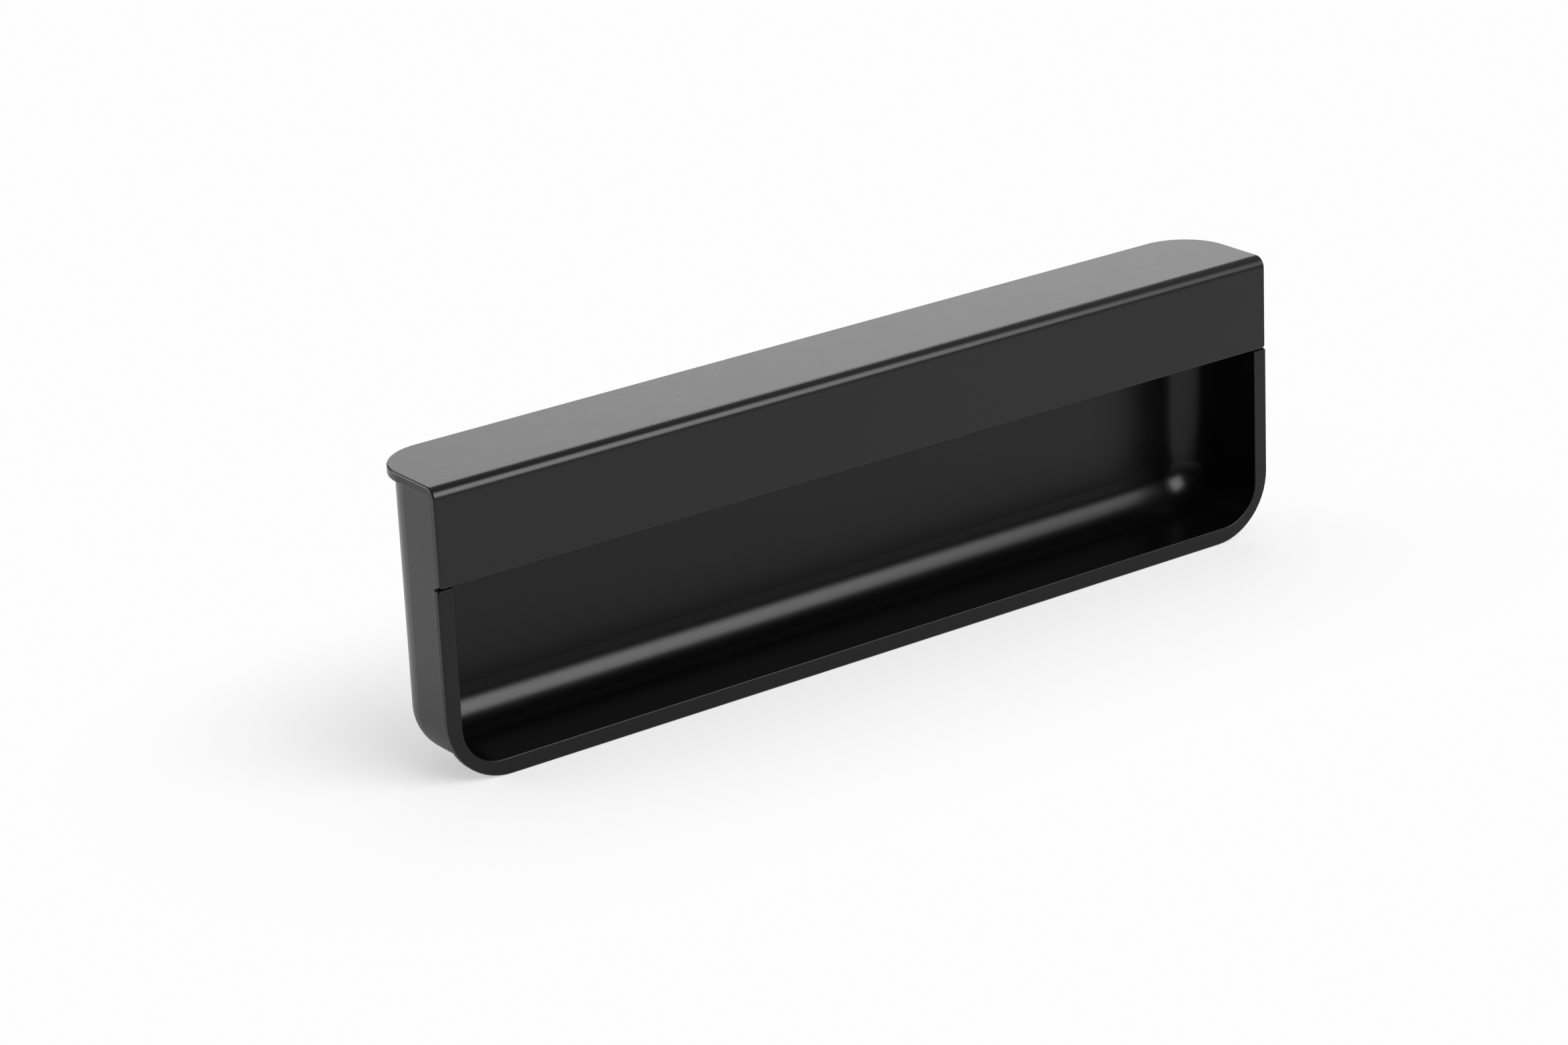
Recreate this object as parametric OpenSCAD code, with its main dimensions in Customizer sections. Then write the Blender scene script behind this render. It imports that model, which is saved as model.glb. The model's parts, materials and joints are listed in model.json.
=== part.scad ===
// Recessed pull handle: a cast cup set into a panel, covered by a folded plate whose lip is the grip
// The length runs along X, the front faces -Y, and the origin is under the middle of the handle,
// level with the lower edge of the flange

/* [Cover plate] */
// Length of the cover plate, end to end
plate_l = 170; // [150:1:320]
// Depth of the cover plate, from the face of its lip to its rear edge
plate_d = 20.2; // [19:0.1:32]
// Height of the whole handle, from the lower edge of the flange to the top of the plate
total_h = 50.4; // [46:0.1:80]
// Sheet thickness of the cover plate
plate_t = 1.6; // [1:0.1:1.8]
// Height of the lip that hangs down in front
lip_h = 16.5; // [14:0.1:22]
// Outside radius of the fold between plate and lip
fold_r = 2; // [1.8:0.1:4]
// Radius of the two rear corners, seen from above
rear_r = 9.4; // [2:0.1:14]
// Radius of the two lower corners of the lip, seen from the front
lip_r = 0.6; // [0.5:0.1:4]

/* [Edges] */
// Easing of the outer edges of plate, lip and flange
edge_r = 0.35; // [0.1:0.05:0.5]
// Easing of the hidden edges of plate, lip and flange
under_r = 0.2; // [0.05:0.05:0.4]
// Easing of the inner edge of the flange, round the opening
mouth_r = 0.2; // [0.05:0.05:0.5]

/* [Cup flange] */
// Thickness of the flange
flange_t = 1.5; // [1:0.1:1.7]
// How far the face of the flange lies behind the face of the lip
flange_back = 0.2; // [0:0.05:0.4]
// How far the flange reaches past each end of the cover plate
flange_over = 0.35; // [0:0.05:2]
// Radius of the lower outer corners of the flange
flange_r = 11.3; // [4:0.1:16]
// Radius of the upper outer corners of the flange, under the lip
flange_top_r = 0.5; // [0.3:0.1:1.5]
// Seam between the lip and the upper ends of the flange
seam_gap = 0.15; // [0.05:0.05:0.5]
// Clear distance from the inner curve of the fold to the front edges of the cup behind the lip
fold_gap = 0.1; // [0.05:0.05:1]

/* [Recess] */
// Width of the flange beside the opening
rim_side = 2.7; // [2:0.1:8]
// Width of the flange below the opening
rim_low = 2.9; // [2:0.1:8]
// Radius of the lower corners of the opening
open_r = 7.1; // [6.5:0.1:14]
// Depth of the recess, from the face of the flange to the rear wall
recess_d = 17; // [12:0.1:17]
// Radius of the hollow that joins the rear wall to the side walls and the floor
recess_r = 6.3; // [1:0.1:6.5]

/* [Cup walls] */
// Thickness of the side walls
side_wall = 1.2; // [0.8:0.1:2]
// Thickness of the floor
floor_wall = 1.5; // [0.8:0.1:2]
// Thickness of the rear wall
rear_wall = 1.2; // [0.8:0.1:1.8]
// Thickness of the roof that carries the cover plate
roof_wall = 2; // [1.6:0.1:3]

/* [Fixing bosses] */
// Distance between the two fixing screws
boss_pitch = 128; // [64:32:128]
// Distance of the fixing screws below the top of the cover plate
boss_drop = 12; // [9:0.1:14]
// Radius of a boss
boss_r = 4.5; // [3.5:0.1:5]
// How far a boss stands into the recess from the rear wall
boss_in = 3; // [2:0.1:5]
// Radius of the tapped hole through a boss
tap_r = 1.65; // [1:0.05:2.2]

/* [Plate fixing] */
// Distance from the middle stud to each outer stud
stud_pitch = 50; // [30:1:60]
// Radius of a stud
stud_r = 1.5; // [1:0.25:1.5]
// How far a stud ends below its nut
stud_out = 0.5; // [0.2:0.1:1.5]
// Radius of the weld collar at the root of a stud
collar_r = 2.25; // [2:0.05:2.5]
// Height of the weld collar
collar_h = 0.7; // [0.4:0.1:0.8]
// Clearance round a stud and its collar in the roof of the cup
stud_clear = 0.2; // [0.1:0.05:0.4]
// Clearance between a stud and the nut or washer on it
thread_clear = 0.05; // [0.02:0.01:0.1]
// Outside radius of a washer
washer_r = 3.5; // [3:0.1:4]
// Thickness of a washer
washer_t = 0.5; // [0.3:0.1:0.8]
// Width of a nut across its flats
nut_af = 5.5; // [5:0.1:6.5]
// Height of a nut
nut_h = 2.4; // [1.8:0.1:2.4]

/* [Hidden] */
$fn = 96;

// Coat and metal colours
coat = "#1c1c1c";
steel = "#b4b6b8";

// Underside of the plate, which is the top of the cup
seat_z = total_h - plate_t;
// Axis of the fold
fold_z = total_h - fold_r;
// Lower edge of the lip, and the upper ends of the flange below it
lip_z = total_h - lip_h;
flange_z = lip_z - seam_gap;
// Outline and rear face of the flange
flange_l = plate_l + 2 * flange_over;
flange_y = flange_back + flange_t;
// Front edges of the cup behind the lip
front_y = fold_r + fold_gap;
// Opening and inside of the recess
open_l = flange_l - 2 * rim_side;
inner_y = flange_back + recess_d;
roof_z = seat_z - roof_wall;
// Outside of the cup, which follows the hollow at the distance of its walls
body_l = open_l + 2 * side_wall;
body_r = open_r + side_wall;
body_y = inner_y + rear_wall;
body_z = rim_low - floor_wall;
back_r = recess_r + min(side_wall, rear_wall);
// Height of the fixing screws
boss_z = total_h - boss_drop;
// Line of the studs along the middle of the roof, their length, and the planes under the roof
stud_y = (front_y + body_y) / 2;
washer_z = roof_z - washer_t;
nut_z = washer_z - nut_h;
stud_l = seat_z - nut_z + stud_out;
// Turns a form drawn on the ground so that its far side points down and its upper side forwards
hang = [-90, 0, 180];
// The same with its far side up
stand = [90, 0, 0];
// Overlap of a cut past the face that it opens
cut = 1;

// Moves what is laid out from the face of the lip so that the origin lies under the middle
module centred() {
    translate([0, -plate_d / 2, 0]) children();
}

// Half of a section, from the middle out to the rim, with its two rim corners rounded
module eased(t, upper, lower) {
    difference() {
        square([$reach, t]);
        translate([$reach - upper, t - upper]) corner(upper);
        translate([$reach - lower, lower]) mirror([0, 1]) corner(lower);
    }
}

// What a round of radius r takes off a square corner
module corner(r) {
    if (r > 0) difference() {
        square(2 * r);
        circle(r = r);
    }
}

// Half of a section that widens to a round lip of radius r at its lower side
module flared(r) {
    difference() {
        translate([0, -cut]) square([$reach + r, cut + r]);
        translate([$reach + r, r]) circle(r = r);
    }
}

// Carries a half section round a form of length l and width w: along both ends, round the two far
// corners of radius r and along the far side
module around(l, w, r) {
    translate([r - l / 2, 0, 0]) rotate([90, 0, 90]) linear_extrude(l - 2 * r) let($reach = w) children();
    translate([0, w - r, 0]) rotate([90, 0, 0]) linear_extrude(w - r) both_ends(l) children();
    for (side = [0, 1]) mirror([side, 0, 0]) translate([l / 2 - r, w - r, 0])
        rotate_extrude(angle = 90) let($reach = r) children();
}

// The whole section of a form of length l
module both_ends(l) {
    let($reach = l / 2) children();
    mirror([1, 0]) let($reach = l / 2) children();
}

// The folded plate: a flat top with round rear corners, a fold and a lip
module cover_plate() {
    color(coat) centred() {
        translate([0, fold_r, seat_z])
            around(plate_l, plate_d - fold_r, rear_r) eased(plate_t, edge_r, under_r);
        translate([0, fold_r, fold_z]) rotate([90, 0, -90]) rotate_extrude(angle = 90)
            translate([fold_r - plate_t, 0]) mirror([1, 0]) rotate(90)
            both_ends(plate_l) eased(plate_t, edge_r, under_r);
        translate([0, plate_t, fold_z]) rotate(hang)
            around(plate_l, lip_h - fold_r, lip_r) eased(plate_t, edge_r, under_r);
    }
}

// The cast cup: a flange on three sides, a hollow body behind it and two bosses for the fixing screws
module cup() {
    color(coat) centred() {
        difference() {
            union() {
                shell();
                for (side = [-1, 1]) along_boss(side) cylinder(r = boss_r, h = plate_d - inner_y + boss_in);
            }
            for (side = [-1, 1]) along_boss(side) translate([0, 0, -cut]) cylinder(r = tap_r, h = plate_d);
            for (x = [-stud_pitch, 0, stud_pitch]) translate([x, stud_y, 0]) stud_hole();
        }
    }
}

// Lays a form that stands on the ground along the axis of a boss, from its rear end forwards
module along_boss(side) {
    translate([side * boss_pitch / 2, plate_d, boss_z]) rotate([90, 0, 0]) children();
}

// The flange and the body, hollowed by the recess
module shell() {
    difference() {
        union() {
            flange();
            difference() {
                body();
                translate([-body_l, -cut, flange_z]) cube([2 * body_l, cut + front_y, total_h]);
            }
        }
        recess();
    }
}

// The flange, with eased edges all round
module flange() {
    upper_h = 2 * flange_top_r;
    translate([0, flange_y, flange_z - upper_h]) rotate(hang)
        around(flange_l, flange_z - upper_h, flange_r) eased(flange_t, edge_r, under_r);
    translate([0, flange_y, flange_z - upper_h]) rotate(stand)
        around(flange_l, upper_h, flange_top_r) eased(flange_t, min(edge_r, flange_top_r), under_r);
}

// The outside of the cup, from inside the flange to its rear wall
module body() {
    translate([0, body_y, seat_z]) rotate(hang)
        around(body_l, seat_z - body_z, body_r) eased(body_y - flange_y + flange_t / 2, 0, back_r);
}

// The hollow of the recess, which opens to the front, with the eased edge of its mouth
module recess() {
    translate([0, inner_y, roof_z]) rotate(hang)
        around(open_l, roof_z - rim_low, open_r) eased(recess_d + cut, 0, recess_r);
    translate([0, flange_back, roof_z]) rotate([-90, 0, 0])
        around(open_l, roof_z - rim_low, open_r) flared(mouth_r);
}

// The hole in the roof for a stud, with a pocket for its weld collar
module stud_hole() {
    translate([0, 0, roof_z - cut]) cylinder(r = stud_r + stud_clear, h = roof_wall + 2 * cut);
    translate([0, 0, seat_z - collar_h - stud_clear])
        cylinder(r = collar_r + stud_clear, h = collar_h + stud_clear + cut);
}

// A stud welded to the underside of the plate
module stud(x) {
    color(steel) centred() translate([x, stud_y, seat_z]) mirror([0, 0, 1]) {
        cylinder(r = stud_r, h = stud_l);
        cylinder(r = collar_r, h = collar_h);
    }
}

// A plain washer against the roof of the cup
module washer(x) {
    color(steel) centred() translate([x, stud_y, washer_z]) difference() {
        cylinder(r = washer_r, h = washer_t);
        translate([0, 0, -cut]) cylinder(r = stud_r + thread_clear, h = washer_t + 2 * cut);
    }
}

// A hexagon nut under the washer
module nut(x) {
    color(steel) centred() translate([x, stud_y, nut_z]) difference() {
        cylinder(r = nut_af / sqrt(3), h = nut_h, $fn = 6);
        translate([0, 0, -cut]) cylinder(r = stud_r + thread_clear, h = nut_h + 2 * cut);
    }
}

cup();
cover_plate();
stud(-stud_pitch);  // stud_left
stud(0);  // stud_middle
stud(stud_pitch);  // stud_right
washer(-stud_pitch);  // washer_left
washer(0);  // washer_middle
washer(stud_pitch);  // washer_right
nut(-stud_pitch);  // nut_left
nut(0);  // nut_middle
nut(stud_pitch);  // nut_right
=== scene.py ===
import json
import math

import bmesh
import bpy
from mathutils import Matrix, Vector


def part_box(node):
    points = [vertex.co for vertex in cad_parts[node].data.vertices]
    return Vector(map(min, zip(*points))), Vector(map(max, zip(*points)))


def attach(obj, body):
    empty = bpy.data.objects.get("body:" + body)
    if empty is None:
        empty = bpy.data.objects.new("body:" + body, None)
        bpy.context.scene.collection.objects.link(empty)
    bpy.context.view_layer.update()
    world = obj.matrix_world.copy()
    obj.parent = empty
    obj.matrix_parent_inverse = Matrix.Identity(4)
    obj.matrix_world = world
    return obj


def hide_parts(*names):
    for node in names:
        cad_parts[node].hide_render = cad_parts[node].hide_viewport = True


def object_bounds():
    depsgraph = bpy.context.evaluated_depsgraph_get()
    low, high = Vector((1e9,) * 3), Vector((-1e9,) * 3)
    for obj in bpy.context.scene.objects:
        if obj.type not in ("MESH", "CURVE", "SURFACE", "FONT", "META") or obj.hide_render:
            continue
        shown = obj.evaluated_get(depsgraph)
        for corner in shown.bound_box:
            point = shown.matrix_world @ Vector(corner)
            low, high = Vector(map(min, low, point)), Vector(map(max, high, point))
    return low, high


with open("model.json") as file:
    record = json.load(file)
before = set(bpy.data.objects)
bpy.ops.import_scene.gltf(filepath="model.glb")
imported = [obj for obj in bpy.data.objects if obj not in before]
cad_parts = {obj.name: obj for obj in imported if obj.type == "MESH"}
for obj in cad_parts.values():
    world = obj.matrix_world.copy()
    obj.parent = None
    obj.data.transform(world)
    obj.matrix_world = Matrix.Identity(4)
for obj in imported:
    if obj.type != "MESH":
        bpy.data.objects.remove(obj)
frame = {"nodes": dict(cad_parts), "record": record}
cad_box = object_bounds()

bl_info = {
    "name": "Recessed pull handle",
    "version": (1, 0, 0),
    "blender": (4, 5, 0),
    "location": "3D View > Sidebar > Pull handle",
    "description": "Powder coat, plated fasteners and a small studio for a recessed pull handle",
    "category": "Material",
}

MM = 0.001

# Pieces and sizes of the handle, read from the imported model
NODES = frame["nodes"]
STUDS = [name for name in NODES if name.startswith("stud_")]
WASHERS = [name for name in NODES if name.startswith("washer_")]
NUTS = [name for name in NODES if name.startswith("nut_")]
CUP_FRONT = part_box("cup")[0].y
SCREWS = next(mount for mount in frame["record"]["mounts"] if mount["name"] == "rear_screws")
TAP_SPACING = SCREWS["dims"]["spacing_x_mm"] * MM
TAP_RADIUS = SCREWS["dims"]["hole_r_mm"] * MM
TAP_HEIGHT = SCREWS["pos_m"][2]

# Threads: the pitch in the tapped holes, the shares of any pitch that are flat at the crest and at the
# root, and the depth as a share of the pitch
TAP_PITCH = 0.7 * MM
THREAD_CREST = 0.125
THREAD_ROOT = 0.25
THREAD_DEPTH = 0.613

# Steps round a stud, a washer and a nut, rings along one pitch of a thread, and steps over a rolled edge
STUD_STEPS = 48
WASHER_STEPS = 96
NUT_STEPS = 72
RINGS_PER_PITCH = 12
EASE_STEPS = 4
# The round end face of a nut as a share of its width across flats, and the slope of the chamfer round it
NUT_SHOULDER = 0.97
NUT_SLOPE = math.tan(math.radians(30))
# Points nearer than this are one point, and an edge that turns more than this is sharp
WELD = 1e-8
SHARP_ANGLE = math.radians(35)

# Powder coat: how far its colour goes lighter and darker, what a pore adds to the roughness and what
# burnishing takes off it, and the metal that shows where the coat is cut away
TONE_SPREAD = 0.2
PORE_ROUGHNESS = 0.2
EDGE_POLISH = 0.05
BARE_METAL = (0.42, 0.42, 0.43, 1)
BARE_ROUGHNESS = 0.35

# Zinc plate: the size and the tone of its darker patches, the spread of its roughness, how far the tool
# marks are drawn out sideways, and their share of the relief, of which fine grain is the rest
ZINC_PATCH = 1.6 * MM
ZINC_TONE = 0.86
ZINC_SPREAD = 0.12
ZINC_STRETCH = (0.12, 0.12, 1.0)
ZINC_MARKS = 0.6

# Paper on the floor: the size of its grain, the tone of the darker grain, and the white further away
PAPER_GRAIN = 4 * MM
PAPER_TONE = 0.995
PAPER_WHITE = (0.985, 0.985, 0.985, 1)

# Masks of the coat: each pair says where a mask is 0 and where it is 1.
# Distance from the middle of a pore as a share of the spacing, and the lot that a cell draws for a pore,
# which about one cell in five wins
PORE_RIM = (0.06, 0.02)
PORE_CHOICE = (0.80, 0.82)
# How far an eased edge turns the normal, as 1 less its cosine
EDGE_TURN = (0.004, 0.09)
# A point that every wall of the recess faces, and the distance from it to the plane of a face, in metres.
# The distance is above 0 where the face looks away from the point, and below 0 where it looks at it
RECESS_MIDDLE = (0.0, -2.0 * MM, 20.0 * MM)
OUTWARD = (0.0, 0.2 * MM)
INWARD = (0.0, -0.2 * MM)
# How far a face looks up, from 0 for an upright face to 1 for a level one. These masks place painted
# # shade on the floor of the recess, low in the hollow and on the upper ends of the flange
FLOOR_UP = (0.75, 0.97)
HOLLOW_START = (0.03, 0.12)
HOLLOW_END = (0.36, 0.25)
FLANGE_UP = (0.2, 0.6)
# Depth at which the outer gloss begins (the lower gloss inside is painted shade), and depth and height of
# # the upper ends of the flange, which get painted shade
OUTER_DEPTH = (CUP_FRONT + 1.0 * MM, CUP_FRONT + 1.2 * MM)
SEAM_DEPTH = (CUP_FRONT + 2.2 * MM, CUP_FRONT + 2.0 * MM)
SEAM_HEIGHT = (30 * MM, 32 * MM)
# Distance from the axis of a tapped hole
TAP_RIM = (TAP_RADIUS * 1.02, TAP_RADIUS * 1.01)

# Camera, from the photograph's own perspective: place in metres, angles in degrees, lens in millimetres
CAMERA_AT = (-0.43468, -0.58939, 0.29402)
CAMERA_AZIMUTH = -35.634
CAMERA_ELEVATION = 20.445
CAMERA_ROLL = -2.638
CAMERA_LENS = 107.87
CAMERA_SENSOR = 36.0

# Soft lamps, all at one distance: name, azimuth and elevation in degrees seen from the handle (0 is in
# front, 90 at its right end), width and height in metres, and how bright the panel is (1 is as bright as
# white paper)
LAMP_DISTANCE = 1.15
LAMPS = [
    ("key", 15, 35.5, 1.10, 0.70, 6.4),
    ("front", 30, 34, 1.05, 0.84, 0.9),
    ("right_top", 100, 50, 0.90, 0.50, 0.5),
    ("rear", 185, 38, 0.70, 0.50, 1.0),
    ("rear_right", 149, 14, 0.90, 0.44, 1.95),
    ("rear_right_high", 144, 36, 0.44, 0.20, 4.2),
    ("rear_left", 228, 13, 1.00, 0.50, 5.4),
    ("top", 0, 88, 0.80, 0.80, 0.7),
]


class Value:
    """One socket of a shader, in an expression that adds its Math nodes."""

    def __init__(self, sheet, socket):
        self.sheet = sheet
        self.socket = socket

    def __add__(self, other):
        return self.sheet.math("ADD", self, other)

    def __radd__(self, other):
        return self.sheet.math("ADD", other, self)

    def __sub__(self, other):
        return self.sheet.math("SUBTRACT", self, other)

    def __rsub__(self, other):
        return self.sheet.math("SUBTRACT", other, self)

    def __mul__(self, other):
        return self.sheet.math("MULTIPLY", self, other)

    def __rmul__(self, other):
        return self.sheet.math("MULTIPLY", other, self)

    def __truediv__(self, other):
        return self.sheet.math("DIVIDE", self, other)

    def __rtruediv__(self, other):
        return self.sheet.math("DIVIDE", other, self)

    def ramp(self, low, high):
        """0 below low, 1 above high and smooth between them. With low above high it falls instead."""
        if low > high:
            return 1 - self.ramp(high, low)
        return self.sheet.node("ShaderNodeMapRange", {"interpolation_type": "SMOOTHSTEP"},
                               {"Value": self, "From Min": low, "From Max": high})

    def beside(self, name):
        """Another output of the same node."""
        return Value(self.sheet, self.socket.node.outputs[name])


class Sheet:
    """The nodes of one material or world."""

    def __init__(self, owner):
        owner.use_nodes = True
        self.tree = owner.node_tree
        self.tree.nodes.clear()

    def node(self, kind, settings=None, inputs=None, out=0):
        """Adds one node: its settings come first, then the values or links of its sockets."""
        node = self.tree.nodes.new(kind)
        for key, value in (settings or {}).items():
            setattr(node, key, value)
        for key, value in (inputs or {}).items():
            if isinstance(value, Value):
                self.tree.links.new(value.socket, node.inputs[key])
            else:
                node.inputs[key].default_value = value
        return Value(self, node.outputs[out]) if node.outputs else None

    def finish(self, shader, kind="ShaderNodeOutputMaterial"):
        """Sends the shader to the output."""
        self.node(kind, inputs={"Surface": shader})

    def math(self, operation, *values):
        """One Math node."""
        return self.node("ShaderNodeMath", {"operation": operation}, dict(enumerate(values)))

    def distance(self, across, up):
        """The distance between points that lie this far apart in two directions at right angles."""
        return self.math("SQRT", across * across + up * up)

    def place(self):
        """Where a point of the surface lies, in metres in the shared frame."""
        return self.node("ShaderNodeTexCoord", out="Object")

    def split(self, vector):
        """The three parts of a vector."""
        x = self.node("ShaderNodeSeparateXYZ", inputs={0: vector})
        return x, x.beside("Y"), x.beside("Z")

    def dot(self, first, second):
        """How far one vector runs along another."""
        return self.node("ShaderNodeVectorMath", {"operation": "DOT_PRODUCT"}, {0: first, 1: second},
                         "Value")

    def noise(self, vector, size, detail=2.0, rough=0.5, stretch=(1, 1, 1)):
        """Soft noise from 0 to 1, with features of about that size in metres."""
        scaled = self.node("ShaderNodeVectorMath", {"operation": "MULTIPLY"},
                           {0: vector, 1: [share / size for share in stretch]})
        return self.node("ShaderNodeTexNoise", {"noise_dimensions": "3D"},
                         {"Vector": scaled, "Scale": 1.0, "Detail": detail, "Roughness": rough})

    def blend(self, share, low, high):
        """A colour between two. A Mix node has them in its sockets 6 and 7 and the new one in output 2."""
        return self.node("ShaderNodeMix", {"data_type": "RGBA"}, {0: share, 6: low, 7: high}, 2)

    def mix(self, share, low, high):
        """A shader between two."""
        return self.node("ShaderNodeMixShader", inputs={0: share, 1: low, 2: high})

    def facing(self):
        """The direction in which the surface faces."""
        return self.node("ShaderNodeNewGeometry", out="Normal")

    def edge(self, radius):
        """1 along the outer edges of the form, 0 on its faces."""
        eased = self.node("ShaderNodeBevel", {"samples": 4}, {"Radius": radius})
        return (1 - self.dot(eased, self.facing())).ramp(*EDGE_TURN)

    def bump(self, height):
        """A normal from a height in metres."""
        return self.node("ShaderNodeBump", inputs={"Strength": 1.0, "Distance": 1.0, "Height": height})


def shade(colour, share=1.0):
    """A colour made darker or lighter by a share, with full opacity."""
    return tuple(part * share for part in colour) + (1,)


def need(test, message):
    """Stops an operator that can't finish."""
    if not test:
        raise RuntimeError(message)


def extent(node):
    """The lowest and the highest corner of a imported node, and its middle."""
    low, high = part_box(node)
    return low, high, (low + high) / 2


def wear(node_name, material):
    """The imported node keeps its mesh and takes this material."""
    node = NODES[node_name]
    for slot in node.material_slots:
        slot.material = material


def stand_in(piece, node):
    """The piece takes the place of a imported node."""
    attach(piece, "root")
    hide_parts(node)


def circle(radius, height, steps):
    """One plain ring of a turned form."""
    return [(radius, height)] * steps


def thread_ring(major, pitch, depth, height, steps, limit):
    """One ring across a screw thread, no wider than limit."""
    ring = []
    for i in range(steps):
        share = abs(2 * ((height / pitch - i / steps) % 1) - 1)
        cut = depth * min(1, max(0, (share - THREAD_CREST) / (1 - THREAD_CREST - THREAD_ROOT)))
        ring.append((min(major - cut, limit), height))
    return ring


def turned(name, centre, rings, material):
    """A closed skin round an upright axis. A ring is a list of (radius, height), one for each step of the
    turn, or a single height, which closes the skin on the axis."""
    steps = max(len(ring) for ring in rings if isinstance(ring, list))
    form = bmesh.new()
    rows = []
    for ring in rings:
        if not isinstance(ring, list):
            rows.append([form.verts.new((centre.x, centre.y, ring))])
            continue
        row = []
        for i, (radius, height) in enumerate(ring):
            angle = 2 * math.pi * i / steps
            row.append(form.verts.new((centre.x + radius * math.cos(angle),
                                       centre.y + radius * math.sin(angle), height)))
        rows.append(row)
    pairs = list(zip(rows, rows[1:]))
    if len(rows[0]) > 1:
        pairs.append((rows[-1], rows[0]))
    for low, high in pairs:
        for i in range(steps):
            corners = [low[i % len(low)], low[(i + 1) % len(low)],
                       high[(i + 1) % len(high)], high[i % len(high)]]
            form.faces.new(list(dict.fromkeys(corners)))
    bmesh.ops.remove_doubles(form, verts=form.verts, dist=WELD)
    bmesh.ops.recalc_face_normals(form, faces=form.faces)
    mesh = bpy.data.meshes.new(name)
    form.to_mesh(mesh)
    form.free()
    mesh.shade_smooth()
    mesh.set_sharp_from_angle(angle=SHARP_ANGLE)
    mesh.materials.append(material)
    piece = bpy.data.objects.new(name, mesh)
    bpy.context.scene.collection.objects.link(piece)
    return piece


def coat_shader(sheet, coat, gloss, bare=None, ridge=None):
    """Matt black powder coat: a fine grain, a faint orange peel, small pores and slightly burnished edges,
    with a lighter colour along the edges as painted highlight. Where bare is 1, the coat is cut away and
    the metal shows the ridges of a thread."""
    at = sheet.place()
    grain = sheet.noise(at, coat.grain_size, detail=2.0, rough=0.6)
    peel = sheet.noise(at, coat.peel_size, detail=1.0)
    cloud = sheet.noise(at, coat.cloud_size, detail=3.0, rough=0.55)
    edge = sheet.edge(coat.edge_width)

    scaled = sheet.node("ShaderNodeVectorMath", {"operation": "SCALE"},
                        {0: at, "Scale": 1 / coat.pore_spacing})
    cell = sheet.node("ShaderNodeTexVoronoi", {"feature": "F1"},
                      {"Vector": scaled, "Scale": 1.0, "Randomness": 1.0})
    lot = sheet.split(cell.beside("Color"))[0]
    pore = cell.ramp(*PORE_RIM) * lot.ramp(*PORE_CHOICE)

    height = grain * coat.grain_height + peel * coat.peel_height - pore * coat.pore_depth
    colour = sheet.blend(cloud, shade(coat.colour, 1 - TONE_SPREAD), shade(coat.colour, 1 + TONE_SPREAD))
    # Painted highlight: a lighter colour along the edges
    colour = sheet.blend(edge, colour, shade(coat.edge_highlight_colour))
    rough = coat.roughness + (cloud - 0.5) * coat.gloss_variation
    rough = rough + pore * PORE_ROUGHNESS - edge * EDGE_POLISH
    inputs = {"IOR": 1.5, "Specular IOR Level": gloss}
    if bare is not None:
        height = height * (1 - bare) + ridge * bare
        colour = sheet.blend(bare, colour, BARE_METAL)
        rough = rough * (1 - bare) + bare * BARE_ROUGHNESS
        inputs["Metallic"] = bare
    inputs.update({"Base Color": colour, "Roughness": rough, "Normal": sheet.bump(height)})
    return sheet.node("ShaderNodeBsdfPrincipled", inputs=inputs)


def plate_material(coat):
    """Powder coat on the folded sheet, the same all over."""
    material = bpy.data.materials.new("plate_powder_coat")
    sheet = Sheet(material)
    sheet.finish(coat_shader(sheet, coat, coat.specular))
    return material


def cup_material(coat):
    """Powder coat on the casting. It reflects more on the outer walls than in the recess, where the weaker
    reflection is painted shade. A flat coat of the coat's own near black colour is mixed in as painted
    shade on the floor of the recess, where the rear wall turns into the hollow, and on the upper ends of
    the flange inside the seam."""
    material = bpy.data.materials.new("cup_powder_coat")
    sheet = Sheet(material)
    at = sheet.place()
    _, depth, height = sheet.split(at)
    facing = sheet.facing()
    _, _, up = sheet.split(facing)
    from_middle = sheet.node("ShaderNodeVectorMath", {"operation": "SUBTRACT"}, {0: at, 1: RECESS_MIDDLE})
    away = sheet.dot(facing, from_middle)

    # Painted shade: the recess coat has a lower gloss level than the outer walls, which darkens the recess
    outer = away.ramp(*OUTWARD) * depth.ramp(*OUTER_DEPTH)
    bare, ridge = tapped(sheet, at)
    recess_coat = coat_shader(sheet, coat, coat.specular, bare, ridge)
    walls = sheet.mix(outer, recess_coat, coat_shader(sheet, coat, coat.outer_gloss))

    # Painted shade: masks for the recess floor, the band low in the hollow and the flange ends in the seam
    floor = up.ramp(*FLOOR_UP)
    hollow = up.ramp(*HOLLOW_START) * up.ramp(*HOLLOW_END)
    seam = up.ramp(*FLANGE_UP) * height.ramp(*SEAM_HEIGHT) * depth.ramp(*SEAM_DEPTH)
    recess = away.ramp(*INWARD) * (floor * coat.dulling + hollow * coat.hollow_shading)
    shade_share = sheet.math("MAXIMUM", recess, seam * coat.seam_shading)
    # Flat near black coat, mixed in as painted shade
    painted_shade = sheet.node("ShaderNodeBsdfDiffuse", inputs={"Color": shade(coat.colour)})
    sheet.finish(sheet.mix(shade_share, walls, painted_shade))
    return material


def tapped(sheet, at):
    """Where the coat is cut away in the two tapped holes, and the ridges of the thread there."""
    x, y, z = sheet.split(at)
    across = sheet.math("ABSOLUTE", x) - TAP_SPACING / 2
    up = z - TAP_HEIGHT
    bare = sheet.distance(across, up).ramp(*TAP_RIM)
    turn = sheet.math("ARCTAN2", up, across) / (2 * math.pi)
    share = sheet.math("FRACT", y / TAP_PITCH + turn)
    wave = sheet.math("ABSOLUTE", share * 2 - 1)
    return bare, wave * (THREAD_DEPTH * TAP_PITCH)


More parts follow.
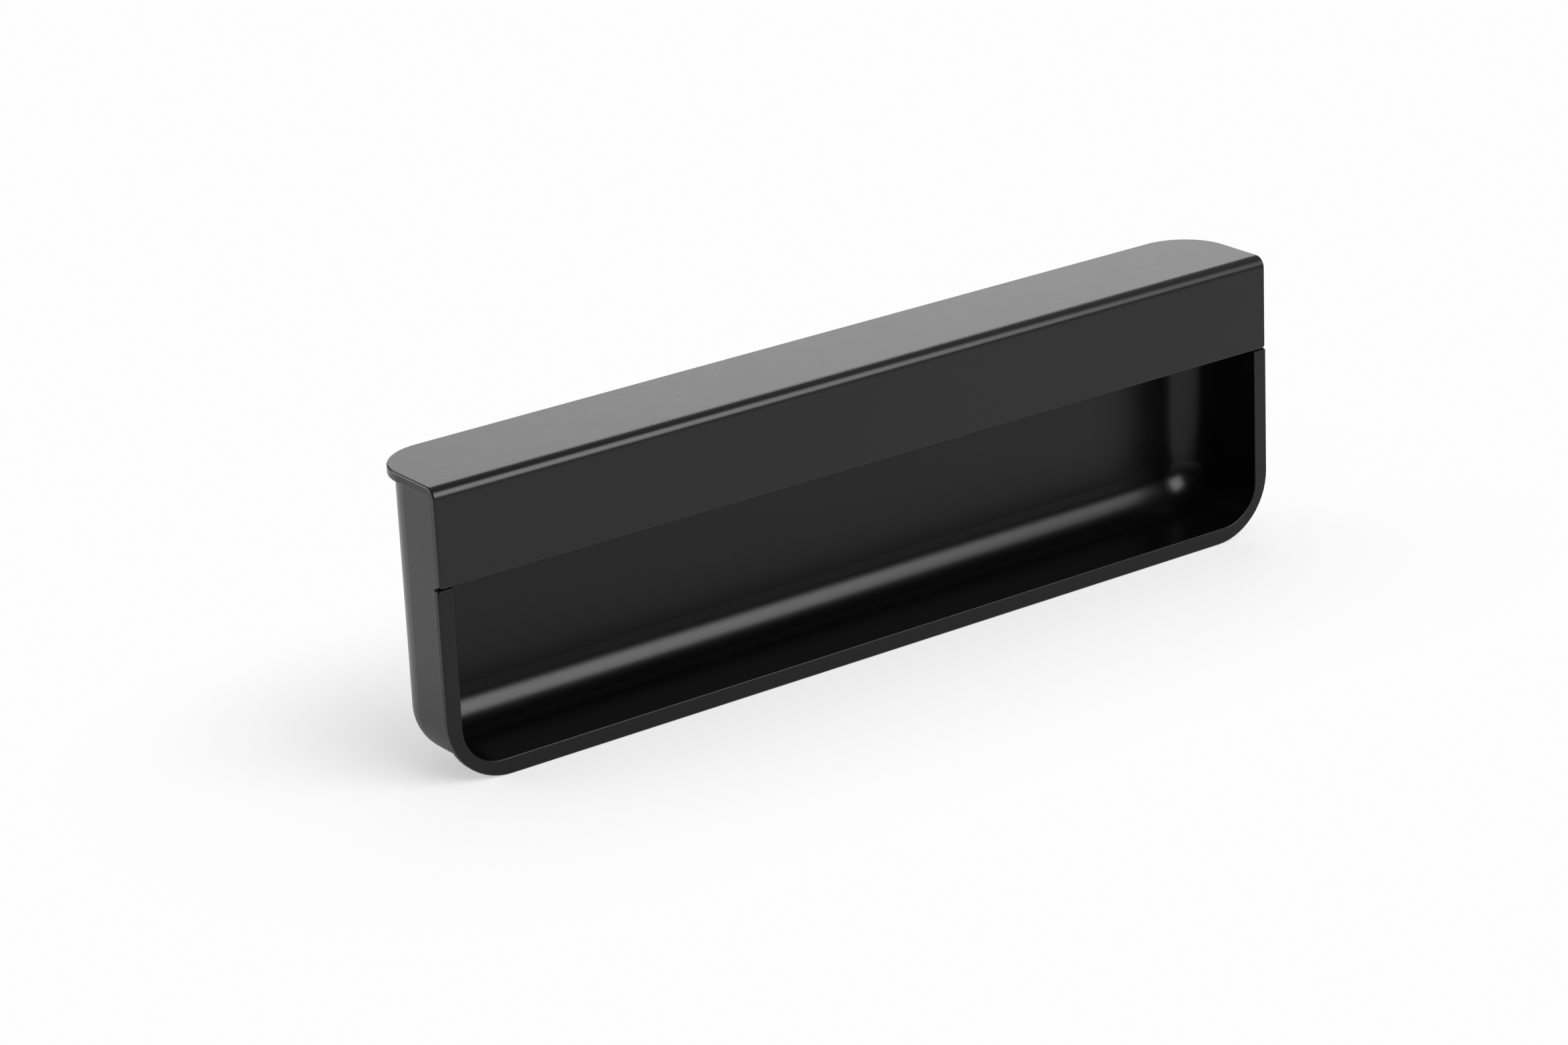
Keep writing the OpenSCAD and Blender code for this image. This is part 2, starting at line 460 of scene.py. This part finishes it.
def steel_material(name, steel):
    """Bright zinc plate on turned and pressed steel."""
    material = bpy.data.materials.new(name)
    sheet = Sheet(material)
    at = sheet.place()
    fine = sheet.noise(at, steel.grain_size, detail=3.0, rough=0.6)
    marks = sheet.noise(at, steel.grain_size, stretch=ZINC_STRETCH)
    patch = sheet.noise(at, ZINC_PATCH)
    height = marks * (ZINC_MARKS * steel.grain_height) + fine * ((1 - ZINC_MARKS) * steel.grain_height)
    sheet.finish(sheet.node("ShaderNodeBsdfPrincipled", inputs={
        "Base Color": sheet.blend(patch, shade(steel.colour, ZINC_TONE), shade(steel.colour)),
        "Metallic": 1.0,
        "Roughness": steel.roughness + (fine - 0.5) * ZINC_SPREAD,
        "Normal": sheet.bump(height),
    }))
    return material


def paper_material(studio):
    """Pale paper under the handle. Near the handle the camera sees its shadow, lifted by a share of white.
    Further away the camera and the reflections see plain white."""
    material = bpy.data.materials.new("studio_paper")
    sheet = Sheet(material)
    at = sheet.place()
    x, y, _ = sheet.split(at)
    half = (cad_box[1] - cad_box[0]) / 2
    beyond = sheet.math("MAXIMUM", sheet.math("ABSOLUTE", x) - (half.x - half.y), 0.0)
    white = sheet.distance(beyond, y).ramp(studio.clear_from, studio.clear_to)
    camera = sheet.node("ShaderNodeLightPath", out="Is Camera Ray")
    mirrored = sheet.math("MAXIMUM", camera.beside("Is Glossy Ray"), camera.beside("Is Transmission Ray"))
    seen = white * mirrored + (white * (1 - studio.lift) + studio.lift) * camera
    tone = sheet.noise(at, PAPER_GRAIN)
    colour = sheet.blend(tone, shade(studio.floor_colour, PAPER_TONE), shade(studio.floor_colour))
    paper = sheet.node("ShaderNodeBsdfDiffuse", inputs={"Color": colour})
    glow = sheet.node("ShaderNodeEmission", inputs={"Color": PAPER_WHITE, "Strength": 1.0})
    sheet.finish(sheet.mix(seen, paper, glow))
    return material


def direction(azimuth, elevation):
    """The way from the handle to a lamp or the camera, as a vector of length 1."""
    around = math.radians(azimuth)
    above = math.radians(elevation)
    level = math.cos(above)
    return Vector((math.sin(around) * level, -math.cos(around) * level, math.sin(above)))


def look_along(thing, back, roll=0.0):
    """Turns a lamp or camera so that it looks against the direction back."""
    level = Vector((0, 0, 1)).cross(back).normalized()
    upright = back.cross(level)
    angle = math.radians(roll)
    side = math.cos(angle) * level + math.sin(angle) * upright
    up = math.cos(angle) * upright - math.sin(angle) * level
    thing.matrix_world = Matrix((side, up, back)).transposed().to_4x4()


class CoatSettings:
    """What the coats of the cup and of the plate share."""
    colour: bpy.props.FloatVectorProperty(
        name="Colour", description="Colour of the powder coat", subtype="COLOR",
        default=(0.0018, 0.0018, 0.0019), min=0, max=1)
    roughness: bpy.props.FloatProperty(
        name="Roughness", description="Roughness of the coat under its grain", subtype="FACTOR",
        default=0.28, min=0, max=1)
    gloss_variation: bpy.props.FloatProperty(
        name="Gloss variation", description="Spread of the roughness over the surface", subtype="FACTOR",
        default=0.04, min=0, max=0.5)
    grain_size: bpy.props.FloatProperty(
        name="Grain size", description="Size of the powder grain", unit="LENGTH",
        default=0.22 * MM, min=1e-5)
    grain_height: bpy.props.FloatProperty(
        name="Grain height", description="Height of the powder grain", unit="LENGTH",
        default=0.006 * MM, min=0)
    peel_size: bpy.props.FloatProperty(
        name="Orange peel size", description="Size of the soft waves in the coat", unit="LENGTH",
        default=1.4 * MM, min=1e-5)
    peel_height: bpy.props.FloatProperty(
        name="Orange peel height", description="Height of the soft waves in the coat", unit="LENGTH",
        default=0.006 * MM, min=0)
    cloud_size: bpy.props.FloatProperty(
        name="Cloud size", description="Size of the faint patches in colour and gloss", unit="LENGTH",
        default=6 * MM, min=1e-5)
    pore_spacing: bpy.props.FloatProperty(
        name="Pore spacing", description="Size of the cells, some of which hold a pore", unit="LENGTH",
        default=1.6 * MM, min=1e-5)
    pore_depth: bpy.props.FloatProperty(
        name="Pore depth", description="Depth of a pore", unit="LENGTH", default=0.012 * MM, min=0)
    # Painted highlight: the lighter colour along the edges
    edge_highlight_colour: bpy.props.FloatVectorProperty(
        name="Edge colour", description="Colour of the coat where it is burnished along an edge",
        subtype="COLOR", default=(0.020, 0.020, 0.020), min=0, max=1)
    # Width of both the painted highlight and the burnished, less rough line along an edge
    edge_width: bpy.props.FloatProperty(
        name="Edge width", description="Width of the burnished line along an edge", unit="LENGTH",
        default=0.25 * MM, min=1e-5)


class CupSettings(CoatSettings, bpy.types.PropertyGroup):
    """The coat of the cup."""
    specular: bpy.props.FloatProperty(
        name="Gloss level", description="Strength of the reflection", subtype="FACTOR",
        default=0.28, min=0, max=1)
    outer_gloss: bpy.props.FloatProperty(
        name="Outer gloss level", description="Strength of the reflection on the outer walls",
        subtype="FACTOR", default=0.46, min=0, max=1)
    # Painted shade: share of flat black on the floor of the recess
    dulling: bpy.props.FloatProperty(
        name="Shading", description="Share of dull coat on the floor of the recess", subtype="FACTOR",
        default=0.6, min=0, max=1)
    # Painted shade: share of flat black where the rear wall turns into the hollow
    hollow_shading: bpy.props.FloatProperty(
        name="Hollow dulling", description="Share of dull coat where the rear wall turns into the hollow",
        subtype="FACTOR", default=0.42, min=0, max=1)
    # Painted shade: share of flat black on the upper ends of the flange inside the seam
    seam_shading: bpy.props.FloatProperty(
        name="Seam dulling", description="Share of dull coat on the upper ends of the flange",
        subtype="FACTOR", default=0.85, min=0, max=1)


class PlateSettings(CoatSettings, bpy.types.PropertyGroup):
    """The coat of the plate, which is finer on sheet than on a casting."""
    grain_height: bpy.props.FloatProperty(
        name="Grain height", description="Height of the powder grain", unit="LENGTH",
        default=0.005 * MM, min=0)
    peel_height: bpy.props.FloatProperty(
        name="Orange peel height", description="Height of the soft waves in the coat", unit="LENGTH",
        default=0.004 * MM, min=0)
    pore_depth: bpy.props.FloatProperty(
        name="Pore depth", description="Depth of a pore", unit="LENGTH", default=0.004 * MM, min=0)
    specular: bpy.props.FloatProperty(
        name="Gloss level", description="Strength of the reflection", subtype="FACTOR",
        default=0.35, min=0, max=1)


class SteelSettings(bpy.types.PropertyGroup):
    """The zinc plate of the studs, washers and nuts."""
    colour: bpy.props.FloatVectorProperty(
        name="Colour", description="Colour of the zinc plate", subtype="COLOR",
        default=(0.60, 0.61, 0.62), min=0, max=1)
    roughness: bpy.props.FloatProperty(
        name="Roughness", description="Roughness of the plating", subtype="FACTOR",
        default=0.32, min=0, max=1)
    grain_size: bpy.props.FloatProperty(
        name="Grain size", description="Distance between the tool marks", unit="LENGTH",
        default=0.12 * MM, min=1e-5)
    grain_height: bpy.props.FloatProperty(
        name="Grain height", description="Depth of the tool marks", unit="LENGTH",
        default=0.004 * MM, min=0)


class FastenerSettings(bpy.types.PropertyGroup):
    """Sizes of the studs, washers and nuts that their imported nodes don't give."""
    stud_radius: bpy.props.FloatProperty(
        name="Stud radius", description="Outside radius of the thread", unit="LENGTH",
        default=1.5 * MM, min=1e-4)
    pitch: bpy.props.FloatProperty(
        name="Pitch", description="Pitch of the thread", unit="LENGTH", default=0.5 * MM, min=1e-4)
    collar_height: bpy.props.FloatProperty(
        name="Collar height", description="Height of the weld collar at the root of a stud", unit="LENGTH",
        default=0.7 * MM, min=1e-5)
    bore_gap: bpy.props.FloatProperty(
        name="Bore gap", description="Gap between the stud and the bore of a nut or washer", unit="LENGTH",
        default=0.05 * MM, min=0)
    chamfer: bpy.props.FloatProperty(
        name="Chamfer", description="Chamfer at the ends of threads and bores", unit="LENGTH",
        default=0.15 * MM, min=0)
    press_ease: bpy.props.FloatProperty(
        name="Rolled edge", description="Radius of the rolled edge of a washer", unit="LENGTH",
        default=0.12 * MM, min=0)


class StudioSettings(bpy.types.PropertyGroup):
    """The floor and the light from all round."""
    floor_colour: bpy.props.FloatVectorProperty(
        name="Floor colour", description="Colour of the floor", subtype="COLOR",
        default=(0.85, 0.85, 0.85), min=0, max=1)
    floor_size: bpy.props.FloatProperty(
        name="Floor size", description="Half the width of the floor", unit="LENGTH", default=3.0, min=0.5)
    clear_from: bpy.props.FloatProperty(
        name="White from", description="Distance from the handle at which the floor begins to turn white",
        unit="LENGTH", default=0.0, min=0)
    clear_to: bpy.props.FloatProperty(
        name="White at", description="Distance from the handle at which the floor is white",
        unit="LENGTH", default=0.07, min=0)
    lift: bpy.props.FloatProperty(
        name="Shadow lift", description="Share of white in the floor beside the handle", subtype="FACTOR",
        default=0.48, min=0, max=1)
    ambient: bpy.props.FloatProperty(
        name="Ambient light", description="Level of the light from all round", default=0.08, min=0)


class HANDLE_OT_coat_cup(bpy.types.Operator):
    """Powder coats the cast cup"""
    bl_idname = "handle.coat_cup"
    bl_label = "Coat the cup"

    def execute(self, context):
        need("cup" in NODES, "the packed model has no cup")
        wear("cup", cup_material(context.scene.handle_cup))
        return {"FINISHED"}


class HANDLE_OT_coat_plate(bpy.types.Operator):
    """Powder coats the folded cover plate"""
    bl_idname = "handle.coat_plate"
    bl_label = "Coat the cover plate"

    def execute(self, context):
        need("cover_plate" in NODES, "the packed model has no cover plate")
        wear("cover_plate", plate_material(context.scene.handle_plate))
        return {"FINISHED"}


class HANDLE_OT_make_studs(bpy.types.Operator):
    """Makes the threaded weld studs under the cover plate"""
    bl_idname = "handle.make_studs"
    bl_label = "Make the studs"

    def execute(self, context):
        need(STUDS, "the packed model has no studs")
        sizes = context.scene.handle_fasteners
        zinc = steel_material("stud_zinc", context.scene.handle_steel)
        major = sizes.stud_radius
        depth = THREAD_DEPTH * sizes.pitch
        tip = major - depth - sizes.chamfer / 2
        for node in STUDS:
            low, high, middle = extent(node)
            collar = (high.x - low.x) / 2
            end = high.z - sizes.collar_height
            count = math.ceil((end - low.z) / sizes.pitch * RINGS_PER_PITCH)
            rows = [low.z, circle(tip, low.z, STUD_STEPS)]
            for i in range(count + 1):
                height = low.z + (end - low.z) * i / count
                limit = tip + (height - low.z)
                rows.append(thread_ring(major, sizes.pitch, depth, height, STUD_STEPS, limit))
            rows += [circle(collar - sizes.chamfer, end, STUD_STEPS),
                     circle(collar, end + sizes.chamfer, STUD_STEPS),
                     circle(collar, high.z, STUD_STEPS),
                     high.z]
            stand_in(turned("thread_" + node, middle, rows, zinc), node)
        return {"FINISHED"}


class HANDLE_OT_make_washers(bpy.types.Operator):
    """Makes the pressed washers against the roof"""
    bl_idname = "handle.make_washers"
    bl_label = "Make the washers"

    def execute(self, context):
        need(WASHERS, "the packed model has no washers")
        sizes = context.scene.handle_fasteners
        zinc = steel_material("washer_zinc", context.scene.handle_steel)
        bore = sizes.stud_radius + sizes.bore_gap
        ease = sizes.press_ease
        lead = ease / 2
        burr = ease / 4
        for node in WASHERS:
            low, high, middle = extent(node)
            rim = (high.x - low.x) / 2
            profile = [(bore, low.z + lead), (bore + lead, low.z)]
            for i in range(EASE_STEPS + 1):
                angle = math.radians(90 * i / EASE_STEPS)
                profile.append((rim - ease * (1 - math.sin(angle)), low.z + ease * (1 - math.cos(angle))))
            profile += [(rim, high.z - burr), (rim - burr, high.z),
                        (bore + burr, high.z), (bore, high.z - burr)]
            rows = [circle(radius, height, WASHER_STEPS) for radius, height in profile]
            stand_in(turned("pressed_" + node, middle, rows, zinc), node)
        return {"FINISHED"}


class HANDLE_OT_make_nuts(bpy.types.Operator):
    """Makes the chamfered hexagon nuts under the washers"""
    bl_idname = "handle.make_nuts"
    bl_label = "Make the nuts"

    def execute(self, context):
        need(NUTS, "the packed model has no nuts")
        sizes = context.scene.handle_fasteners
        zinc = steel_material("nut_zinc", context.scene.handle_steel)
        bore = sizes.stud_radius + sizes.bore_gap
        mouth = bore + sizes.chamfer
        turns = [math.radians((360 * i / NUT_STEPS) % 60 - 30) for i in range(NUT_STEPS)]
        for node in NUTS:
            low, high, middle = extent(node)
            flat = (high.y - low.y) / 2
            shoulder = flat * NUT_SHOULDER
            hexagon = [flat / math.cos(turn) for turn in turns]
            rows = [circle(bore, low.z + sizes.chamfer, NUT_STEPS),
                    circle(mouth, low.z, NUT_STEPS),
                    circle(shoulder, low.z, NUT_STEPS),
                    [(radius, low.z + (radius - shoulder) * NUT_SLOPE) for radius in hexagon],
                    [(radius, high.z - (radius - shoulder) * NUT_SLOPE) for radius in hexagon],
                    circle(shoulder, high.z, NUT_STEPS),
                    circle(mouth, high.z, NUT_STEPS),
                    circle(bore, high.z - sizes.chamfer, NUT_STEPS)]
            stand_in(turned("hexagon_" + node, middle, rows, zinc), node)
        return {"FINISHED"}


class HANDLE_OT_set_studio(bpy.types.Operator):
    """Sets the floor, the soft lamps and the camera"""
    bl_idname = "handle.set_studio"
    bl_label = "Set the studio"

    def execute(self, context):
        scene = context.scene
        self.lay_floor(scene)
        self.hang_lamps(scene)
        self.light_room(scene)
        self.place_camera(scene)
        scene.view_settings.view_transform = "Standard"
        return {"FINISHED"}

    def lay_floor(self, scene):
        """A level sheet of paper under the handle."""
        mesh = bpy.data.meshes.new("studio_floor")
        reach = scene.handle_studio.floor_size
        corners = [(-reach, -reach, 0), (reach, -reach, 0), (reach, reach, 0), (-reach, reach, 0)]
        mesh.from_pydata(corners, [], [(0, 1, 2, 3)])
        floor = bpy.data.objects.new("studio_floor", mesh)
        scene.collection.objects.link(floor)
        mesh.materials.append(paper_material(scene.handle_studio))

    def hang_lamps(self, scene):
        """Lamps that look at the middle of the handle, and that the camera doesn't see."""
        middle = (cad_box[0] + cad_box[1]) / 2
        for name, azimuth, elevation, width, height, bright in LAMPS:
            light = bpy.data.lights.new("lamp_" + name, "AREA")
            light.shape = "RECTANGLE"
            light.size = width
            light.size_y = height
            light.energy = bright * math.pi * width * height
            lamp = bpy.data.objects.new("lamp_" + name, light)
            scene.collection.objects.link(lamp)
            out = direction(azimuth, elevation)
            look_along(lamp, out)
            lamp.location = middle + out * LAMP_DISTANCE
            lamp.visible_camera = False

    def light_room(self, scene):
        """A little white light from all round."""
        world = bpy.data.worlds.new("studio_room")
        scene.world = world
        sheet = Sheet(world)
        light = {"Color": (1, 1, 1, 1), "Strength": scene.handle_studio.ambient}
        sheet.finish(sheet.node("ShaderNodeBackground", inputs=light), "ShaderNodeOutputWorld")

    def place_camera(self, scene):
        """The camera at the photograph's viewing angle."""
        data = bpy.data.cameras.new("camera")
        data.sensor_width = CAMERA_SENSOR
        data.lens = CAMERA_LENS
        data.clip_start = 10 * MM
        camera = bpy.data.objects.new("camera", data)
        scene.collection.objects.link(camera)
        look_along(camera, direction(CAMERA_AZIMUTH, CAMERA_ELEVATION), CAMERA_ROLL)
        camera.location = CAMERA_AT
        scene.camera = camera


SETTINGS = {
    "handle_cup": CupSettings,
    "handle_plate": PlateSettings,
    "handle_steel": SteelSettings,
    "handle_fasteners": FastenerSettings,
    "handle_studio": StudioSettings,
}
OPERATORS = (
    HANDLE_OT_coat_cup,
    HANDLE_OT_coat_plate,
    HANDLE_OT_make_studs,
    HANDLE_OT_make_washers,
    HANDLE_OT_make_nuts,
    HANDLE_OT_set_studio,
)


class HANDLE_PT_panel(bpy.types.Panel):
    """Lists the steps and their settings"""
    bl_label = "Pull handle"
    bl_idname = "HANDLE_PT_panel"
    bl_space_type = "VIEW_3D"
    bl_region_type = "UI"
    bl_category = "Pull handle"

    def draw(self, context):
        for operator in OPERATORS:
            self.layout.operator(operator.bl_idname)
        for name in SETTINGS:
            settings = getattr(context.scene, name)
            box = self.layout.box()
            for key in settings.bl_rna.properties.keys():
                if key not in ("rna_type", "name"):
                    box.prop(settings, key)


CLASSES = (*SETTINGS.values(), *OPERATORS, HANDLE_PT_panel)


def register():
    """Adds the settings, operators and panel to Blender."""
    for item in CLASSES:
        bpy.utils.register_class(item)
    for name, group in SETTINGS.items():
        setattr(bpy.types.Scene, name, bpy.props.PointerProperty(type=group))


def unregister():
    """Takes them out again."""
    for name in SETTINGS:
        delattr(bpy.types.Scene, name)
    for item in reversed(CLASSES):
        bpy.utils.unregister_class(item)


def main():
    register()
    bpy.ops.handle.coat_cup()
    bpy.ops.handle.coat_plate()
    bpy.ops.handle.make_studs()
    bpy.ops.handle.make_washers()
    bpy.ops.handle.make_nuts()
    bpy.ops.handle.set_studio()


if __name__ == "__main__":
    main()
